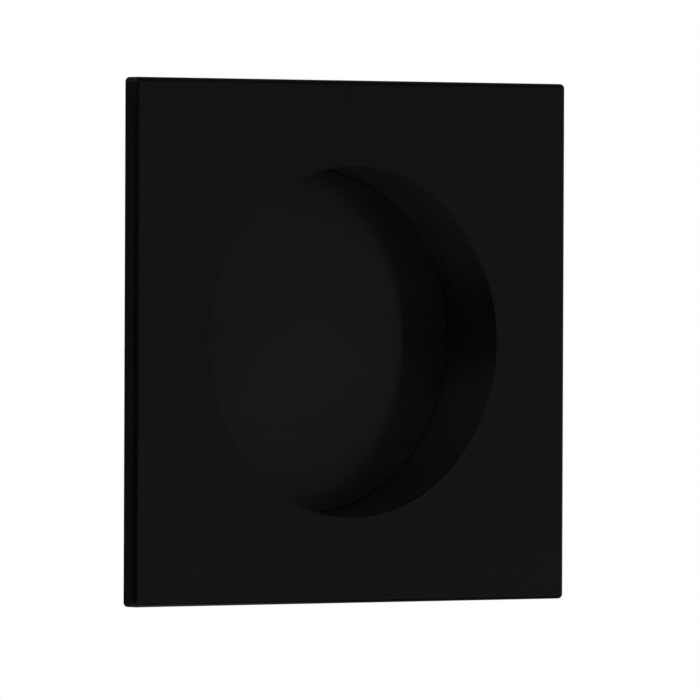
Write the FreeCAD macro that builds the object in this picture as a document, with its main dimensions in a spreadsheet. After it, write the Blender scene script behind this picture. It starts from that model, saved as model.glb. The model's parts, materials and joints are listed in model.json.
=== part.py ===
import FreeCAD, Part
import os
import Sketcher

# Pocket door pull: a square plate with a round, straight-walled finger recess.
# Millimetres. The plate stands in the XZ plane with its face towards -Y, Z is up, and the cup
# points along +Y into the door. The origin lies on the cup's axis in the plane of the plate's
# back, which is the plane of the door's face.

V = FreeCAD.Vector
TINY = 1e-4
doc = FreeCAD.newDocument("pocket_door_pull")

# driving sizes: name, value, what it measures
SIZES = [
    ("plate_side", 76.2, "side of the square plate"),
    ("plate_thick", 3.0, "plate, back to face"),
    ("edge_round", 0.7, "round of the plate's front edges and upright corners"),
    ("back_break", 0.2, "chamfer round the plate's back"),
    ("recess_dia", 50.8, "bore of the finger recess"),
    ("recess_depth", 12.0, "face of the plate to the face of the cover disc"),
    ("rim_round", 0.2, "round where the bore meets the face"),
    ("bore_corner", 0.3, "inside corner between the bore and the cup floor"),
    ("cup_wall", 1.4, "wall of the cup behind the plate"),
    ("floor_thick", 2.4, "floor of the cup"),
    ("cup_lead_in", 0.8, "chamfer at the cup's rear edge"),
    ("disc_thick", 1.2, "cover disc"),
    ("disc_clearance", 0.1, "cover disc to bore, on the radius"),
    ("disc_break", 0.1, "chamfer of the cover disc's edges"),
    ("pad_thick", 0.4, "adhesive pad"),
    ("pad_margin", 1.8, "cover disc's edge to the pad's edge"),
    ("window_margin", 0.8, "countersink's edge to the pad window's edge"),
    ("screw_spacing", 26.0, "between the two screw axes"),
    ("screw_length", 9.5, "fixing screw, top of head to point"),
    ("screw_dia", 3.5, "fixing screw over its thread"),
    ("core_dia", 2.4, "fixing screw at the root of its thread"),
    ("point_length", 2.8, "gimlet point"),
    ("head_dia", 6.8, "countersunk head"),
    ("head_edge", 0.3, "upright edge of the head"),
    ("head_angle", 90.0, "included angle of head and countersink, degrees"),
    ("head_sink", 0.2, "cup floor to the top of the head"),
    ("head_clearance", 0.05, "head to countersink, on the radius"),
    ("screw_clearance", 0.25, "thread to hole, on the radius"),
    ("driver_width", 4.0, "cross recess across the wings, at the top"),
    ("driver_root", 1.7, "cross recess across the wings, at the bottom"),
    ("driver_wing", 0.9, "thickness of a wing"),
    ("driver_depth", 1.9, "depth of the cross recess"),
]
sheet = doc.addObject("Spreadsheet::Sheet", "sizes")
for row, (alias, value, note) in enumerate(SIZES, start=1):
    sheet.set(f"A{row}", alias)
    sheet.set(f"B{row}", str(value))
    sheet.setAlias(f"B{row}", alias)
    sheet.set(f"C{row}", note)
doc.recompute()

# values that follow from the sheet: levels along Y and radii from the cup's axis
LINKS = [
    ("disc_front", "sizes.recess_depth - sizes.plate_thick"),
    ("disc_back", "derived.disc_front + sizes.disc_thick"),
    ("floor_level", "derived.disc_back + sizes.pad_thick"),
    ("cup_back", "derived.floor_level + sizes.floor_thick"),
    ("head_level", "derived.floor_level + sizes.head_sink"),
    ("recess_rad", "sizes.recess_dia / 2"),
    ("cup_rad", "derived.recess_rad + sizes.cup_wall"),
    ("disc_rad", "derived.recess_rad - sizes.disc_clearance"),
    ("pad_rad", "derived.disc_rad - sizes.pad_margin"),
    ("head_rad", "sizes.head_dia / 2"),
    ("core_rad", "sizes.core_dia / 2"),
    ("hole_dia", "sizes.screw_dia + 2 * sizes.screw_clearance"),
    ("slope", "tan(sizes.head_angle * 1 deg / 2)"),
    ("sink_rad", "derived.head_rad + sizes.head_clearance"
                 " + (sizes.head_sink + sizes.head_edge) * derived.slope"),
    ("cone_end", "sizes.head_edge + (derived.head_rad - derived.core_rad) / derived.slope"),
    ("point_start", "sizes.screw_length - sizes.point_length"),
    ("window_rad", "derived.sink_rad + sizes.window_margin"),
    ("screw_offset", "sizes.screw_spacing / 2"),
]
derived = doc.addObject("App::VarSet", "derived")
for alias, rule in LINKS:
    derived.addProperty("App::PropertyFloat", alias, "Derived", rule)
    derived.setExpression(alias, rule)
    doc.recompute()


def size(name):
    """Present value of a sheet cell or of a derived value."""
    if name in derived.PropertiesList:
        return getattr(derived, name)
    return sheet.get(name)


def new_body(label):
    body = doc.addObject("PartDesign::Body", label)
    body.Label = label
    return body


def origin_part(body, role):
    """The body's own origin plane or axis of that role."""
    for feature in body.Origin.OriginFeatures:
        if feature.Role == role:
            return feature
    raise RuntimeError(f"{body.Label} has no {role}")


def new_sketch(body, label, role, offset=None):
    """Sketch on one of the body's origin planes, moved along its normal by a bound offset."""
    sketch = body.newObject("Sketcher::SketchObject", label)
    sketch.AttachmentSupport = [(origin_part(body, role), "")]
    sketch.MapMode = "FlatFace"
    if offset:
        sketch.setExpression("AttachmentOffset.Base.z", offset)
    doc.recompute()
    return sketch


def bind(sketch, constraint, rule):
    """Add a dimension and tie it to the sheet."""
    number = sketch.addConstraint(constraint)
    sketch.setExpression(f"Constraints[{number}]", rule)


def outline(sketch, corners):
    """Closed outline of straight edges. Each corner is (x, y, rule for x, rule for y); a rule
    of None keeps that corner on the axis."""
    count = len(corners)
    for i in range(count):
        a = V(corners[i][0], corners[i][1], 0)
        b = V(corners[(i + 1) % count][0], corners[(i + 1) % count][1], 0)
        sketch.addGeometry(Part.LineSegment(a, b), False)
    for i in range(count):
        sketch.addConstraint(Sketcher.Constraint("Coincident", i, 2, (i + 1) % count, 1))
    for i, (x, y, rule_x, rule_y) in enumerate(corners):
        if rule_x is None:
            sketch.addConstraint(Sketcher.Constraint("PointOnObject", i, 1, -2))
        else:
            bind(sketch, Sketcher.Constraint("DistanceX", -1, 1, i, 1, x), rule_x)
        if rule_y is None:
            sketch.addConstraint(Sketcher.Constraint("PointOnObject", i, 1, -1))
        else:
            bind(sketch, Sketcher.Constraint("DistanceY", -1, 1, i, 1, y), rule_y)
    doc.recompute()


def circle(sketch, x, y, radius, rule_radius, rule_y=None):
    """Circle on the sketch's upright axis, at a bound height or at the origin."""
    number = sketch.addGeometry(Part.Circle(V(x, y, 0), V(0, 0, 1), radius), False)
    if rule_y is None:
        sketch.addConstraint(Sketcher.Constraint("Coincident", number, 3, -1, 1))
    else:
        sketch.addConstraint(Sketcher.Constraint("PointOnObject", number, 3, -2))
        bind(sketch, Sketcher.Constraint("DistanceY", -1, 1, number, 3, y), rule_y)
    bind(sketch, Sketcher.Constraint("Radius", number, radius), rule_radius)
    return number


def edge_names(shape, wanted):
    """Names of the edges for which wanted(edge) holds."""
    return [f"Edge{i}" for i, edge in enumerate(shape.Edges, start=1) if wanted(edge)]


def is_ring(edge, radius, level):
    """A full circle of that radius round the cup's axis, at that level along Y."""
    if edge.Degenerated or not isinstance(edge.Curve, Part.Circle):
        return False
    curve = edge.Curve
    middle = V(curve.Center.x, 0, curve.Center.z)
    return (
        abs(curve.Radius - radius) < TINY
        and abs(curve.Center.y - level) < TINY
        and middle.Length < TINY
    )


def dress(body, kind, label, names, rule):
    """Fillet or chamfer on the named edges of the body's present tip."""
    base = body.Tip
    feature = body.newObject(f"PartDesign::{kind}", label)
    feature.Base = (base, names)
    feature.setExpression("Radius" if kind == "Fillet" else "Size", rule)
    doc.recompute()
    return feature


# housing: plate and cup turned from one piece
housing = new_body("housing")

half = size("plate_side") / 2
plate_sketch = new_sketch(housing, "plate_outline", "XZ_Plane")
outline(plate_sketch, [
    (-half, -half, "-sizes.plate_side / 2", "-sizes.plate_side / 2"),
    (half, -half, "sizes.plate_side / 2", "-sizes.plate_side / 2"),
    (half, half, "sizes.plate_side / 2", "sizes.plate_side / 2"),
    (-half, half, "-sizes.plate_side / 2", "sizes.plate_side / 2"),
])
plate = housing.newObject("PartDesign::Pad", "plate")
plate.Profile = plate_sketch
plate.setExpression("Length", "sizes.plate_thick")
doc.recompute()


def plate_outer_edge(edge):
    """Front edges and upright corner edges of the bare plate, not those of its back."""
    return any(vertex.Point.y < -TINY for vertex in edge.Vertexes)


dress(housing, "Fillet", "plate_edges", edge_names(plate.Shape, plate_outer_edge), "sizes.edge_round")


def plate_back_edge(edge):
    return all(abs(vertex.Point.y) < TINY for vertex in edge.Vertexes)


dress(housing, "Chamfer", "plate_back", edge_names(housing.Tip.Shape, plate_back_edge),
      "sizes.back_break")

# outside of the cup, with a lead-in chamfer for the bore in the door
cup_sketch = new_sketch(housing, "cup_profile", "XY_Plane")
outline(cup_sketch, [
    (0, 0, None, None),
    (size("cup_rad"), 0, "derived.cup_rad", None),
    (size("cup_rad"), size("cup_back") - size("cup_lead_in"),
     "derived.cup_rad", "derived.cup_back - sizes.cup_lead_in"),
    (size("cup_rad") - size("cup_lead_in"), size("cup_back"),
     "derived.cup_rad - sizes.cup_lead_in", "derived.cup_back"),
    (0, size("cup_back"), None, "derived.cup_back"),
])
cup = housing.newObject("PartDesign::Revolution", "cup")
cup.Profile = cup_sketch
cup.ReferenceAxis = (cup_sketch, ["V_Axis"])
cup.Angle = 360
doc.recompute()

# finger recess, bored from the face
bore_sketch = new_sketch(housing, "bore_profile", "XY_Plane")
outline(bore_sketch, [
    (0, -size("plate_thick"), None, "-sizes.plate_thick"),
    (size("recess_rad"), -size("plate_thick"), "derived.recess_rad", "-sizes.plate_thick"),
    (size("recess_rad"), size("floor_level"), "derived.recess_rad", "derived.floor_level"),
    (0, size("floor_level"), None, "derived.floor_level"),
])
bore = housing.newObject("PartDesign::Groove", "bore")
bore.Profile = bore_sketch
bore.ReferenceAxis = (bore_sketch, ["V_Axis"])
bore.Angle = 360
doc.recompute()

rim = edge_names(bore.Shape, lambda e: is_ring(e, size("recess_rad"), -size("plate_thick")))
dress(housing, "Fillet", "rim", rim, "sizes.rim_round")
corner = edge_names(housing.Tip.Shape, lambda e: is_ring(e, size("recess_rad"), size("floor_level")))
dress(housing, "Fillet", "bore_foot", corner, "sizes.bore_corner")

# two countersunk holes through the cup floor, on the upright centre line
hole_sketch = new_sketch(housing, "hole_centres", "XZ_Plane", "-derived.floor_level")
for sign, rule in ((1, "derived.screw_offset"), (-1, "-derived.screw_offset")):
    circle(hole_sketch, 0, sign * size("screw_offset"), size("hole_dia") / 2,
           "derived.hole_dia / 2", rule)
doc.recompute()
before_holes = housing.Tip.Shape.Volume
holes = housing.newObject("PartDesign::Hole", "screw_holes")
holes.Profile = hole_sketch
holes.ThreadType = "None"
holes.DepthType = "ThroughAll"
holes.setExpression("Diameter", "derived.hole_dia")
holes.HoleCutType = "Countersink"
holes.HoleCutCustomValues = True
holes.setExpression("HoleCutDiameter", "2 * derived.sink_rad")
holes.setExpression("HoleCutCountersinkAngle", "sizes.head_angle * 1 deg")
doc.recompute()

# cover disc: the visible floor of the recess
cover_disc = new_body("cover_disc")
cover_disc.setExpression("Placement.Base.y", "derived.disc_back")
disc_sketch = new_sketch(cover_disc, "disc_outline", "XZ_Plane")
circle(disc_sketch, 0, 0, size("disc_rad"), "derived.disc_rad")
disc = cover_disc.newObject("PartDesign::Pad", "disc")
disc.Profile = disc_sketch
disc.setExpression("Length", "sizes.disc_thick")
doc.recompute()
both_edges = edge_names(
    disc.Shape,
    lambda e: is_ring(e, size("disc_rad"), 0) or is_ring(e, size("disc_rad"), -size("disc_thick")),
)
dress(cover_disc, "Chamfer", "disc_edges", both_edges, "sizes.disc_break")

# adhesive pad: die-cut, with a round window over each screw head
adhesive_pad = new_body("adhesive_pad")
adhesive_pad.setExpression("Placement.Base.y", "derived.floor_level")
pad_sketch = new_sketch(adhesive_pad, "pad_outline", "XZ_Plane")
circle(pad_sketch, 0, 0, size("pad_rad"), "derived.pad_rad")
for sign, rule in ((1, "derived.screw_offset"), (-1, "-derived.screw_offset")):
    circle(pad_sketch, 0, sign * size("screw_offset"), size("window_rad"),
           "derived.window_rad", rule)
pad = adhesive_pad.newObject("PartDesign::Pad", "pad")
pad.Profile = pad_sketch
pad.setExpression("Length", "sizes.pad_thick")
doc.recompute()


# fixing screws: countersunk wood screws with a cross recess
def fixing_screw(label, rule_height):
    """Screw along +Y with the top of its head at its own origin."""
    body = new_body(label)
    body.setExpression("Placement.Base.y", "derived.head_level")
    body.setExpression("Placement.Base.z", rule_height)
    profile = new_sketch(body, label + "_profile", "XY_Plane")
    outline(profile, [
        (0, 0, None, None),
        (size("head_rad"), 0, "derived.head_rad", None),
        (size("head_rad"), size("head_edge"), "derived.head_rad", "sizes.head_edge"),
        (size("core_rad"), size("cone_end"), "derived.core_rad", "derived.cone_end"),
        (size("core_rad"), size("point_start"), "derived.core_rad", "derived.point_start"),
        (0, size("screw_length"), None, "sizes.screw_length"),
    ])
    blank = body.newObject("PartDesign::Revolution", label + "_blank")
    blank.Profile = profile
    blank.ReferenceAxis = (profile, ["V_Axis"])
    blank.Angle = 360
    doc.recompute()
    # each wing of the cross recess is a tapered slot cut to both sides of its sketch
    top = size("driver_width") / 2
    root = size("driver_root") / 2
    deep = size("driver_depth")
    for name, role in (("level_wing", "XY_Plane"), ("upright_wing", "YZ_Plane")):
        wing = new_sketch(body, f"{label}_{name}", role)
        corners = [
            (-top, 0, "-sizes.driver_width / 2", None),
            (top, 0, "sizes.driver_width / 2", None),
            (root, deep, "sizes.driver_root / 2", "sizes.driver_depth"),
            (-root, deep, "-sizes.driver_root / 2", "sizes.driver_depth"),
        ]
        if role == "YZ_Plane":
            corners = [(y, x, rule_y, rule_x) for x, y, rule_x, rule_y in corners]
        outline(wing, corners)
        slot = body.newObject("PartDesign::Pocket", f"{label}_{name}_slot")
        slot.Profile = wing
        slot.Midplane = True
        slot.setExpression("Length", "sizes.driver_wing")
        doc.recompute()
    return body


upper_screw = fixing_screw("upper_fixing_screw", "derived.screw_offset")
lower_screw = fixing_screw("lower_fixing_screw", "-derived.screw_offset")

# checks and export
doc.recompute()
for item in doc.Objects:
    if "Invalid" in item.State or "Error" in item.State:
        raise RuntimeError(f"{item.Label} failed: {item.State}")
if housing.Shape.Volume > before_holes - TINY:
    raise RuntimeError("the screw holes cut nothing")

bodies = [housing, cover_disc, adhesive_pad, upper_screw, lower_screw]
for body in bodies:
    shape = body.Shape
    if shape.isNull() or not shape.isValid() or len(shape.Solids) != 1:
        raise RuntimeError(f"{body.Label} isn't one valid solid")

os.makedirs("parts", exist_ok=True)
for body in bodies:
    body.Shape.exportStep(f"parts/{body.Label}.step")
    box = body.Shape.BoundBox
    print(
        f"{body.Label}: {body.Shape.Volume:.1f} mm3,",
        f"x {box.XMin:.2f} to {box.XMax:.2f}, y {box.YMin:.2f} to {box.YMax:.2f},",
        f"z {box.ZMin:.2f} to {box.ZMax:.2f}",
    )
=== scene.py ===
import json
import math

import bmesh
import bpy
from mathutils import Matrix, Vector


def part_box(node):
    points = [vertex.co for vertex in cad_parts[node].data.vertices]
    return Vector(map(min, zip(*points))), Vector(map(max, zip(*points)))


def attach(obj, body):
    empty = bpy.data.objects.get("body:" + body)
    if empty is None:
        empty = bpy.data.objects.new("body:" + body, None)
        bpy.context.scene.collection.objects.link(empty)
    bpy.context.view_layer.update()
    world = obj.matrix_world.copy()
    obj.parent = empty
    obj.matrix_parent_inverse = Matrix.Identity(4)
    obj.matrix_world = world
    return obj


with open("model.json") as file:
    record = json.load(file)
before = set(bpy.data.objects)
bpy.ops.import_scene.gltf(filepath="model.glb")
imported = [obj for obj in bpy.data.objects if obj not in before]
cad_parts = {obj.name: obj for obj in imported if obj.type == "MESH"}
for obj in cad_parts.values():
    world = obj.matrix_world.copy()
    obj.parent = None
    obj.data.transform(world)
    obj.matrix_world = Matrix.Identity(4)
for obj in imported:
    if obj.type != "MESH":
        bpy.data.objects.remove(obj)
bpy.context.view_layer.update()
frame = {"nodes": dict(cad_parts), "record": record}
nodes = frame["nodes"]

MM = 0.001
ORIGIN = Vector((0, 0, 0))
WHITE = (1, 1, 1, 1)

# sizes taken from the frame
housing_low, housing_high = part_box("housing")
PLATE_SIDE = housing_high.x - housing_low.x
FACE_LEVEL = housing_low.y
mount_dims = {mount["name"]: mount["dims"] for mount in frame["record"]["mounts"]}
CORE_RADIUS = mount_dims["screw_ends"]["stud_r_mm"] * MM


def new_object(name, data):
    obj = bpy.data.objects.new(name, data)
    bpy.context.scene.collection.objects.link(obj)
    return obj


def mesh_object(name, bm, material):
    """Object made from a bmesh, in one material."""
    mesh = bpy.data.meshes.new(name)
    bm.to_mesh(mesh)
    bm.free()
    mesh.materials.append(material)
    return new_object(name, mesh)


# the camera, fitted to the photograph's outline, rim and joint line
VIEW_YAW = math.radians(34.667)
VIEW_PITCH = math.radians(0.531)
VIEW_ROLL = math.radians(-0.224)
VIEW_DISTANCE = 18.052 * PLATE_SIDE
VIEW_ACROSS = 0.0068 * PLATE_SIDE
VIEW_UP = 0.0157 * PLATE_SIDE
FOCAL_PIXELS = 9438.4
PICTURE_PIXELS = 700
SENSOR_WIDTH = 36.0
CLIP_START = 0.01
CLIP_END = 20


def camera():
    """Camera at the photograph's viewing angle, aimed so that the plate lies where it does there."""
    turn = (
        Matrix.Rotation(VIEW_ROLL, 3, "Z")
        @ Matrix.Rotation(VIEW_PITCH, 3, "X")
        @ Matrix.Rotation(VIEW_YAW, 3, "Y")
    )
    back = turn.transposed()
    place = back @ Vector((-VIEW_ACROSS, -VIEW_UP, VIEW_DISTANCE))
    # the fit's axes are x right, y up and z out of the face
    to_frame = Matrix(((1, 0, 0), (0, 0, -1), (0, 1, 0)))
    data = bpy.data.cameras.new("photo_camera")
    data.sensor_width = SENSOR_WIDTH
    data.lens = FOCAL_PIXELS / PICTURE_PIXELS * SENSOR_WIDTH
    data.clip_start = CLIP_START
    data.clip_end = CLIP_END
    cam = new_object("photo_camera", data)
    matrix = (to_frame @ back).to_4x4()
    matrix.translation = to_frame @ place + Vector((0, FACE_LEVEL, 0))
    cam.matrix_world = matrix
    bpy.context.scene.camera = cam


class Graph:
    """Shorthand for the nodes of a material or of the world. A value is a number, a tuple or the
    output of another node."""

    def __init__(self, tree):
        self.tree = tree
        self.nodes = tree.nodes
        self.nodes.clear()

    def add(self, kind, inputs=None, **settings):
        node = self.nodes.new(kind)
        for name, value in settings.items():
            setattr(node, name, value)
        for name, value in (inputs or {}).items():
            self.put(node.inputs[name], value)
        return node

    def put(self, socket, value):
        if isinstance(value, bpy.types.NodeSocket):
            self.tree.links.new(value, socket)
        else:
            socket.default_value = value

    def math(self, operation, a, b=0.0):
        return self.add("ShaderNodeMath", {0: a, 1: b}, operation=operation).outputs["Value"]

    def vector(self, operation, a, b=(0, 0, 0)):
        node = self.add("ShaderNodeVectorMath", {0: a, 1: b}, operation=operation)
        return node.outputs["Value" if operation == "LENGTH" else "Vector"]

    def scaled(self, vector, by):
        node = self.add("ShaderNodeVectorMath", {0: vector, "Scale": by}, operation="SCALE")
        return node.outputs["Vector"]

    def split(self, vector):
        return self.add("ShaderNodeSeparateXYZ", {"Vector": vector}).outputs

    def join(self, x, y, z):
        return self.add("ShaderNodeCombineXYZ", {"X": x, "Y": y, "Z": z}).outputs["Vector"]

    def noise(self, vector, kind, scale=1.0):
        """kind is one of the pairs of detail and roughness below."""
        detail, roughness = kind
        inputs = {"Vector": vector, "Scale": scale, "Detail": detail, "Roughness": roughness}
        return self.add("ShaderNodeTexNoise", inputs).outputs["Fac"]

    def spread(self, value, target, source=(0.0, 1.0)):
        """Maps the source span to the target span, clamped at its ends."""
        return self.add("ShaderNodeMapRange", {
            "Value": value,
            "From Min": source[0],
            "From Max": source[1],
            "To Min": target[0],
            "To Max": target[1],
        }).outputs["Result"]

    def mix(self, base, parts):
        """The base value, with another value where each part's share is 1."""
        value = base
        for share, there in parts:
            value = self.math("ADD", value, self.math("MULTIPLY", share, there - base))
        return value

    def colour(self, red_green, blue):
        inputs = {"Red": red_green, "Green": red_green, "Blue": blue}
        return self.add("ShaderNodeCombineColor", inputs).outputs["Color"]

    def bump(self, height, distance):
        inputs = {"Height": height, "Distance": distance, "Strength": 1.0}
        return self.add("ShaderNodeBump", inputs).outputs["Normal"]

    def object_place(self):
        return self.add("ShaderNodeTexCoord").outputs["Object"]

    def seen(self):
        """1 for what the camera or a reflection sees, 0 for the light that falls on a surface."""
        path = self.add("ShaderNodeLightPath").outputs
        mirrored = self.math("MAXIMUM", path["Is Glossy Ray"], path["Is Transmission Ray"])
        return self.math("MAXIMUM", path["Is Camera Ray"], mirrored)

    def principled(self, inputs):
        shader = self.add("ShaderNodeBsdfPrincipled", inputs)
        self.output(shader.outputs["BSDF"])

    def output(self, shader):
        self.add("ShaderNodeOutputMaterial", {"Surface": shader})


def new_material(name):
    material = bpy.data.materials.new(name)
    material.use_nodes = True
    return material, Graph(material.node_tree)


# two kinds of noise, as detail and roughness
CRISP = (3.0, 0.6)
SOFT = (2.0, 0.5)
NOISE_MIDDLE = 0.5

# the black coat: its tone follows the tool marks and broader zones
MARKS_SHARE = 0.6
ZONES_SHARE = 0.4
TONE_SPAN = (0.25, 0.75)
GREY_FACTOR = (0.8, 1.2)
ROUGHNESS_SHIFT = (-0.03, 0.03)
COAT_IOR = 1.5


def coated_metal(name, grooves, finish, specular):
    """Satin black coat over machined metal. grooves(graph, place) gives the direction of the tool
    marks, then the coordinates of the fine marks, the broad zones and the slow waves.
    finish(graph, place, normal) gives the coat's grey, its roughness, the marks' height, and how
    far the waves lean the surface along the marks. A coat without waves has None for both."""
    material, g = new_material(name)
    place = g.object_place()
    normal = g.add("ShaderNodeNewGeometry").outputs["Normal"]
    along, fine, broad, slow = grooves(g, place)
    grey, roughness, height, sway = finish(g, place, normal)
    marks = g.noise(fine, CRISP)
    zones = g.noise(broad, SOFT)
    tone = g.math("ADD", g.math("MULTIPLY", marks, MARKS_SHARE), g.math("MULTIPLY", zones, ZONES_SHARE))
    value = g.math("MULTIPLY", grey, g.spread(tone, GREY_FACTOR, TONE_SPAN))
    facing = g.bump(marks, height)
    if sway is not None:
        wave = g.math("SUBTRACT", g.noise(slow, SOFT), NOISE_MIDDLE)
        lean = g.scaled(along, g.math("MULTIPLY", wave, sway))
        facing = g.vector("NORMALIZE", g.vector("ADD", facing, lean))
    g.principled({
        "Base Color": g.colour(value, value),
        "Metallic": 0.0,
        "Roughness": g.math("ADD", roughness, g.spread(tone, ROUGHNESS_SHIFT, TONE_SPAN)),
        "IOR": COAT_IOR,
        "Specular IOR Level": specular,
        "Anisotropic": 1.0,
        "Tangent": g.vector("NORMALIZE", g.vector("CROSS_PRODUCT", normal, along)),
        "Normal": facing,
    })
    return material


# the coat's greys and roughness, and the height of the tool marks in metres
PLATE_GREY = 0.0015
BORE_GREY = 0.0025
# the rim's round is painted darker than the face, as painted shade for the dark line round the bore's
# edge
RIM_SHADE_GREY = 0.0004
DISC_GREY = 0.0058
FACE_ROUGHNESS = 0.18
BORE_ROUGHNESS = 0.60
EDGE_ROUGHNESS = 0.12
RIM_ROUGHNESS = 0.30
DISC_ROUGHNESS = 0.18
HOUSING_SPECULAR = 0.054
DISC_SPECULAR = 0.0475
FACE_MARKS = 1.5e-6
BORE_MARKS = 2e-5
BORE_SWAY = 0.3

# the rim's outer radius, how far a wall's normal may lean out of the bore, the band along the
# plate's edges, and the outer part of it that is smooth throughout
RIM_RADIUS = 25.7 * MM
UPRIGHT_LIMIT = 0.4
EDGE_BAND = 0.7 * MM
EDGE_SMOOTH = 0.8 * EDGE_BAND


def housing_finish(g, place, normal):
    """The bore is turned more coarsely than the face, the round at its rim is rougher and has painted
    shade that darkens it, and the plate's edges are smoother."""
    x, _, z = g.split(place)
    radius = g.vector("LENGTH", g.join(x, 0.0, z))
    facing = g.math("ABSOLUTE", g.split(normal)["Y"])
    upright = g.spread(facing, (1.0, 0.0), (0.0, UPRIGHT_LIMIT))
    inside = g.math("LESS_THAN", radius, RIM_RADIUS)
    bore = g.math("MULTIPLY", upright, inside)
    rim = g.math("SUBTRACT", inside, bore)
    outward = g.math("MAXIMUM", g.math("ABSOLUTE", x), g.math("ABSOLUTE", z))
    edge = g.spread(outward, (0.0, 1.0), (PLATE_SIDE / 2 - EDGE_BAND, PLATE_SIDE / 2 - EDGE_SMOOTH))
    # painted shade: the rim's round gets the darker grey
    grey = g.mix(PLATE_GREY, [(bore, BORE_GREY), (rim, RIM_SHADE_GREY)])
    rough = g.mix(FACE_ROUGHNESS, [(bore, BORE_ROUGHNESS), (rim, RIM_ROUGHNESS), (edge, EDGE_ROUGHNESS)])
    height = g.spread(bore, (FACE_MARKS, BORE_MARKS))
    return grey, rough, height, g.math("MULTIPLY", bore, BORE_SWAY)


def disc_finish(g, place, normal):
    """The disc is alike all over, and its marks don't sway."""
    return DISC_GREY, DISC_ROUGHNESS, FACE_MARKS, None


# noise per metre across the rings, then per radius round them
TURNED_FINE = (2600.0, 7.0, 7.0)
TURNED_BROAD = (400.0, 1.0, 1.0)
TURNED_SLOW = (1400.0, 3.0, 3.0)

# noise per metre along x, y and z
BRUSHED_FINE = (60.0, 60.0, 2600.0)
BRUSHED_BROAD = (20.0, 20.0, 400.0)


def turned(g, place):
    """Rings round the cup's axis: on the face they lie at one radius, in the bore at one depth."""
    x, y, z = g.split(place)
    round_axis = g.join(g.math("MULTIPLY", z, -1.0), 0.0, x)
    along = g.vector("NORMALIZE", round_axis)
    turn = g.split(along)
    across = g.math("ADD", g.vector("LENGTH", round_axis), y)
    ring = g.join(across, turn["X"], turn["Z"])
    scales = (TURNED_FINE, TURNED_BROAD, TURNED_SLOW)
    fine, broad, slow = (g.vector("MULTIPLY", ring, scale) for scale in scales)
    return along, fine, broad, slow


def brushed_across(g, place):
    """Straight level brush lines."""
    fine, broad = (g.vector("MULTIPLY", place, scale) for scale in (BRUSHED_FINE, BRUSHED_BROAD))
    return g.join(1.0, 0.0, 0.0), fine, broad, None


ZINC_MOTTLE = 900.0
ZINC_RINGS = (200.0, 9000.0, 200.0)
ZINC_SPAN = (0.3, 0.7)
ZINC_GREY = (0.5, 0.66)
ZINC_ROUGHNESS = (0.26, 0.4)
ZINC_BLUE = 0.97
ZINC_RELIEF = 4e-6


def zinc():
    """Bright zinc plating, faintly mottled, on rolled and turned steel."""
    material, g = new_material("zinc_plate")
    place = g.object_place()
    mottle = g.noise(place, CRISP, ZINC_MOTTLE)
    rings = g.noise(g.vector("MULTIPLY", place, ZINC_RINGS), SOFT)
    value = g.spread(mottle, ZINC_GREY, ZINC_SPAN)
    g.principled({
        "Base Color": g.colour(value, g.math("MULTIPLY", value, ZINC_BLUE)),
        "Metallic": 1.0,
        "Roughness": g.spread(mottle, ZINC_ROUGHNESS, ZINC_SPAN),
        "Normal": g.bump(rings, ZINC_RELIEF),
    })
    return material


FOAM_CELLS = 4000.0
FOAM_SPAN = (0.0, 0.7)
FOAM_GREY = (0.48, 0.64)
FOAM_ROUGHNESS = (0.75, 0.9)
FOAM_BLUE = 0.98
FOAM_RELIEF = 4e-5


def foam():
    """Pale grey closed-cell tape."""
    material, g = new_material("foam_tape")
    place = g.object_place()
    cells = g.add("ShaderNodeTexVoronoi", {"Vector": place, "Scale": FOAM_CELLS}).outputs["Distance"]
    value = g.spread(cells, FOAM_GREY, FOAM_SPAN)
    g.principled({
        "Base Color": g.colour(value, g.math("MULTIPLY", value, FOAM_BLUE)),
        "Metallic": 0.0,
        "Roughness": g.spread(cells, FOAM_ROUGHNESS, FOAM_SPAN),
        "Normal": g.bump(cells, FOAM_RELIEF),
    })
    return material


# fixing screws: No. 6 wood screw thread round the CAD's plain shank and point
THREAD_RADIUS = 1.75 * MM
THREAD_PITCH = 1.4 * MM
THREAD_BASE = 0.7 * MM
THREAD_CREST = 0.1 * MM
THREAD_ROOTED = 0.08 * MM
THREAD_START = 2.9 * MM
POINT_LENGTH = 2.8 * MM
TIP_REST = 0.3 * MM
TURN_STEPS = 40

# the ridge's ends: the turns in which it rises at the head, the share of its height at the very tip,
# the share of its width where it has no height, and the least share of the core that it is rooted at
RISE_TURNS = 0.8
TIP_HEIGHT = 0.25
END_WIDTH = 0.35
CORE_KEPT = 0.1


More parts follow.
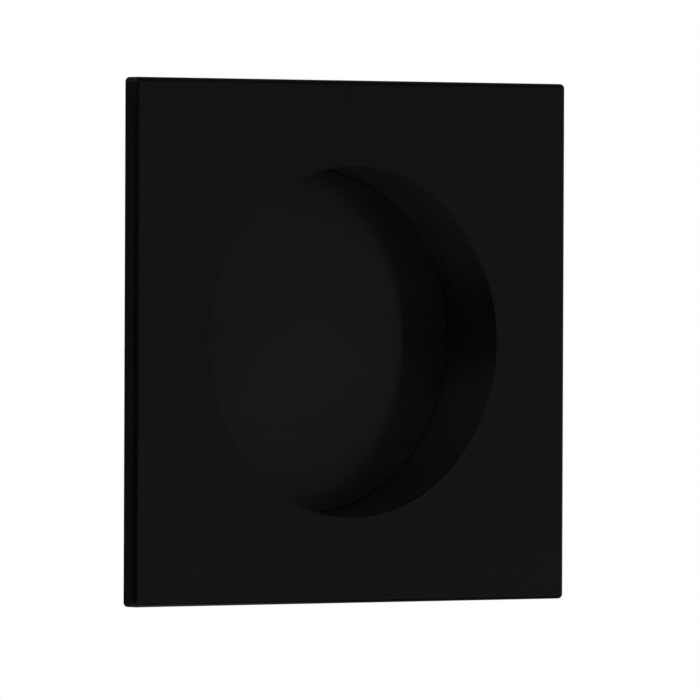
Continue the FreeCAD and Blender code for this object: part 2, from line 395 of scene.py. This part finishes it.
def screw_thread(name, node, material):
    """Right-handed ridge that runs out at the head and shrinks along the gimlet point."""
    low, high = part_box(node)
    centre = (low + high) / 2
    first, last = low.y + THREAD_START, high.y - TIP_REST
    steps = int((last - first) / THREAD_PITCH * TURN_STEPS)
    bm = bmesh.new()
    rings = []
    for i in range(steps + 1):
        turn = 2 * math.pi * i / TURN_STEPS
        y = first + THREAD_PITCH * i / TURN_STEPS
        left = min(1.0, (high.y - y) / POINT_LENGTH)
        core = CORE_RADIUS * left
        rise = min(1.0, i / (RISE_TURNS * TURN_STEPS)) * (TIP_HEIGHT + (1 - TIP_HEIGHT) * left)
        crest = core + (THREAD_RADIUS - CORE_RADIUS) * rise
        wide = END_WIDTH + (1 - END_WIDTH) * rise
        inner = max(core - THREAD_ROOTED, CORE_KEPT * core)
        section = [
            (inner, -THREAD_BASE / 2 * wide),
            (crest, -THREAD_CREST / 2),
            (crest, THREAD_CREST / 2),
            (inner, THREAD_BASE / 2 * wide),
        ]
        rings.append([
            bm.verts.new((
                centre.x + radius * math.sin(turn),
                min(y + shift, high.y - TIP_REST / 3),
                centre.z + radius * math.cos(turn),
            ))
            for radius, shift in section
        ])
    for one, two in zip(rings, rings[1:]):
        for j in range(4):
            k = (j + 1) % 4
            bm.faces.new((one[j], one[k], two[k], two[j]))
    bm.faces.new(rings[0][::-1])
    bm.faces.new(rings[-1])
    bmesh.ops.recalc_face_normals(bm, faces=bm.faces)
    thread = mesh_object(name, bm, material)
    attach(thread, "root")


# the white studio: how strongly it lights, and how it looks
WORLD_LIGHT = 0.5
WORLD_SEEN = 1.0
FLOOR_DROP = 0.22
FLOOR_REACH = 1.5
FLOOR_COLOUR = (0.8, 0.8, 0.8, 1)
FLOOR_GLOW = 0.6


def studio():
    """White surroundings, which light the object at a plain level, weaker than they look."""
    world = bpy.data.worlds.new("studio")
    bpy.context.scene.world = world
    world.use_nodes = True
    g = Graph(world.node_tree)
    strength = g.spread(g.seen(), (WORLD_LIGHT, WORLD_SEEN))
    back = g.add("ShaderNodeBackground", {"Color": WHITE, "Strength": strength})
    g.add("ShaderNodeOutputWorld", {"Surface": back.outputs["Background"]})


def floor():
    """Pale floor below the object. Only the camera and reflections see its glow, which makes it white
    to them."""
    material, g = new_material("pale_floor")
    paint = g.add("ShaderNodeBsdfDiffuse", {"Color": FLOOR_COLOUR})
    strength = g.math("MULTIPLY", g.seen(), FLOOR_GLOW)
    glow = g.add("ShaderNodeEmission", {"Color": WHITE, "Strength": strength})
    both = g.add("ShaderNodeAddShader", {0: paint.outputs["BSDF"], 1: glow.outputs["Emission"]})
    g.output(both.outputs["Shader"])
    bm = bmesh.new()
    bmesh.ops.create_grid(bm, x_segments=1, y_segments=1, size=FLOOR_REACH)
    obj = mesh_object("floor", bm, material)
    obj.location = (0, 0, housing_low.z - FLOOR_DROP)


def direction(round_left, up):
    """Unit vector at an angle round the object and an angle up, both in degrees. 0 is to the left
    (-X), 90 to the front (-Y) and -90 to the back."""
    turn, rise = math.radians(round_left), math.radians(up)
    return Vector((-math.cos(turn) * math.cos(rise), -math.sin(turn) * math.cos(rise), math.sin(rise)))


FLAG_DISTANCE = 0.5
LOW_FLAG_DISTANCE = 0.28
FRONT_FLAG_DISTANCE = 1.2
FLAG_ROWS = 12
FLAG_STEPS = 8


def flag(name, edges, glow=0.0, distance=FLAG_DISTANCE, centre=ORIGIN):
    """A curved black or grey card that keeps the white surroundings out of a reflection. The camera
    and the light on the object pass through it. edges lists the angle round the object with the
    angles of the card's lower and upper edge there, and glow is the card's grey."""
    bm = bmesh.new()
    grid = []
    for (a0, low0, high0), (a1, low1, high1) in zip(edges, edges[1:]):
        for i in range(FLAG_STEPS + 1):
            t = i / FLAG_STEPS
            angle = a0 + (a1 - a0) * t
            low, high = low0 + (low1 - low0) * t, high0 + (high1 - high0) * t
            grid.append([
                bm.verts.new(direction(angle, low + (high - low) * j / FLAG_ROWS) * distance)
                for j in range(FLAG_ROWS + 1)
            ])
    for first, second in zip(grid, grid[1:]):
        for j in range(FLAG_ROWS):
            bm.faces.new((first[j], first[j + 1], second[j + 1], second[j]))
    material, g = new_material(name)
    grey = g.add("ShaderNodeEmission", {"Color": WHITE, "Strength": glow})
    g.output(grey.outputs["Emission"])
    card = mesh_object(name, bm, material)
    card.location = centre
    card.visible_camera = False
    card.visible_diffuse = False
    card.visible_shadow = False


LAMP_DISTANCE = 0.9
LOW_LAMP_DISTANCE = 0.26


def area(name, place, size, power, mirrored=True):
    """Rectangular soft lamp that shines at the origin. Unless it is mirrored, neither reflections
    nor the camera see it."""
    data = bpy.data.lights.new(name, "AREA")
    data.shape = "RECTANGLE"
    data.size, data.size_y = size
    data.energy = power
    lamp = new_object(name, data)
    lamp.location = place
    lamp.rotation_euler = (ORIGIN - Vector(place)).to_track_quat("-Z", "Y").to_euler()
    lamp.visible_camera = mirrored
    lamp.visible_glossy = mirrored


camera()
studio()
floor()

# cards round the object, then two behind it that are placed from the plate's left corners
flag("back_left_flag", [(-84, -16, 10), (-10, -16, 5)], glow=0.14)
flag("front_left_flag", [(-10, -14, 5), (10, -14, 5), (60, -12, 15), (85, -10, 15)])
flag("front_left_low_flag", [(0, -31, -14), (10, -31, -14), (60, -28, -12), (80, -26, -10)], glow=0.08)
flag("front_flag", [(83, -4, 4), (109, -4, 4)], glow=0.3, distance=FRONT_FLAG_DISTANCE)
flag("left_top_flag", [(-60, 62, 89), (60, 62, 89)], glow=0.5)
flag(
    "right_top_flag",
    [(60, 55, 89), (85, 33, 89), (112, 14, 89), (142, 14, 89), (165, 33, 89), (270, 33, 89)],
    glow=0.3,
)
flag("right_low_flag", [(110, -60, -33), (260, -60, -33)], glow=0.3, distance=LOW_FLAG_DISTANCE)
flag(
    "back_top_flag",
    [(-54, 6, 24), (-66, 16, 34), (-90, 26, 42), (-114, 16, 34), (-126, 4, 22)],
    centre=(housing_low.x, 0, housing_high.z),
)
flag(
    "back_low_flag",
    [(-54, -24, -6), (-66, -34, -16), (-90, -42, -26), (-114, -34, -16), (-126, -22, -4)],
    distance=LOW_FLAG_DISTANCE,
    centre=(housing_low.x, 0, housing_low.z),
)

# place, width and height in metres, power in watts
area("upper_left_box", (-0.75, -0.45, 0.42), (0.7, 0.5), 1.2)
area("back_box", direction(-90, 62) * LAMP_DISTANCE, (0.5, 0.4), 3.0)
area("upper_fill", direction(73, 64) * LAMP_DISTANCE, (0.12, 0.12), 4.1, mirrored=False)
area("lower_fill", direction(73, -66) * LOW_LAMP_DISTANCE, (0.04, 0.04), 0.23, mirrored=False)
area("left_fill", (-0.8, -0.22, 0.37), (0.1, 0.1), 2.3, mirrored=False)
area("right_fill", direction(156, 0) * LAMP_DISTANCE, (0.25, 0.25), 2.0, mirrored=False)

turned_black = coated_metal("turned_black", turned, housing_finish, HOUSING_SPECULAR)
brushed_black = coated_metal("brushed_black", brushed_across, disc_finish, DISC_SPECULAR)
zinc_plate = zinc()
nodes["housing"].data.materials[0] = turned_black
nodes["cover_disc"].data.materials[0] = brushed_black
nodes["adhesive_pad"].data.materials[0] = foam()
for which in ("upper", "lower"):
    nodes[f"{which}_fixing_screw"].data.materials[0] = zinc_plate
    screw_thread(f"{which}_screw_thread", f"{which}_fixing_screw", zinc_plate)

bpy.context.scene.view_settings.view_transform = "Standard"
